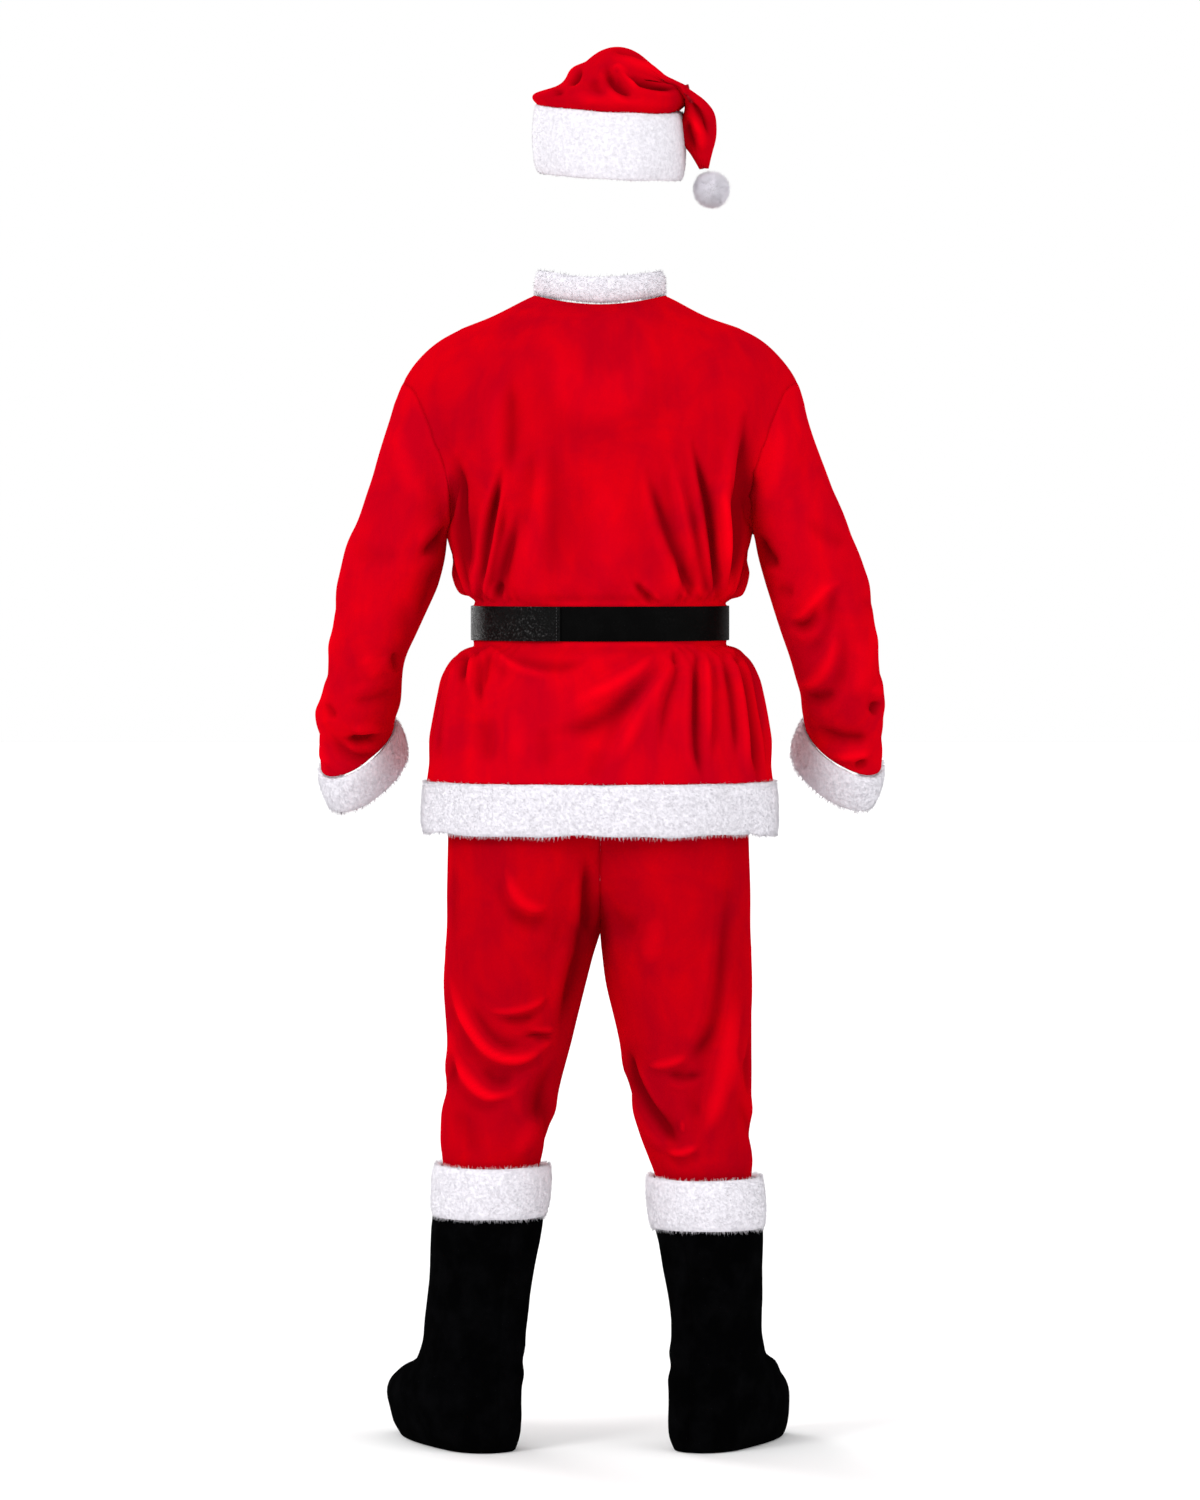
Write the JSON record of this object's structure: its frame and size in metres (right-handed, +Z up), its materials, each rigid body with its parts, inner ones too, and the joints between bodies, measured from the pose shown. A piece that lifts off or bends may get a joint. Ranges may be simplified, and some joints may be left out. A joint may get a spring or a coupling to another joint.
{
  "type": "santa suit",
  "caption": "Worn Santa suit as hollow cloth: flopped hat, belted jacket with plush trim, trousers and boot covers.",
  "frame": {"origin": "middle of the neck at the base of the jacket's neck edge, 1475 mm above the soles of the boot covers", "axes": "+Z up, -Y the way the wearer faces, +X the wearer's left"},
  "size_m": [0.7352, 0.3589, 1.7969],
  "materials": {
    "velour": "red short-pile velour with a soft sheen",
    "plush": "white short-pile plush trim",
    "black_plush": "black short-pile plush",
    "belt_leather": "glossy black leather cloth with a fine pebble grain",
    "elastic": "red gathered elastic waistband",
    "buckle_metal": "plain polished buckle"
  },
  "bodies": {
    "root": {"jacket_back": "velour", "jacket_front_right": "velour", "jacket_front_left": "velour", "sleeve_left": "velour", "sleeve_right": "velour", "trousers_back_left": "velour", "trousers_front_left": "velour", "trousers_back_right": "velour", "trousers_front_right": "velour", "hat_crown": "velour", "cuff_left": "plush", "cuff_right": "plush", "hem_trim": "plush", "neck_trim": "plush", "front_trim": "plush", "boot_cuff_left": "plush", "boot_cuff_right": "plush", "hat_band": "plush", "hat_pompom": "plush", "boot_left_outer": "black_plush", "boot_left_inner": "black_plush", "boot_right_outer": "black_plush", "boot_right_inner": "black_plush", "belt_strap_left": "belt_leather", "belt_strap_right": "belt_leather", "buckle": "buckle_metal", "trousers_waistband": "elastic"}
  },
  "joints": []
}
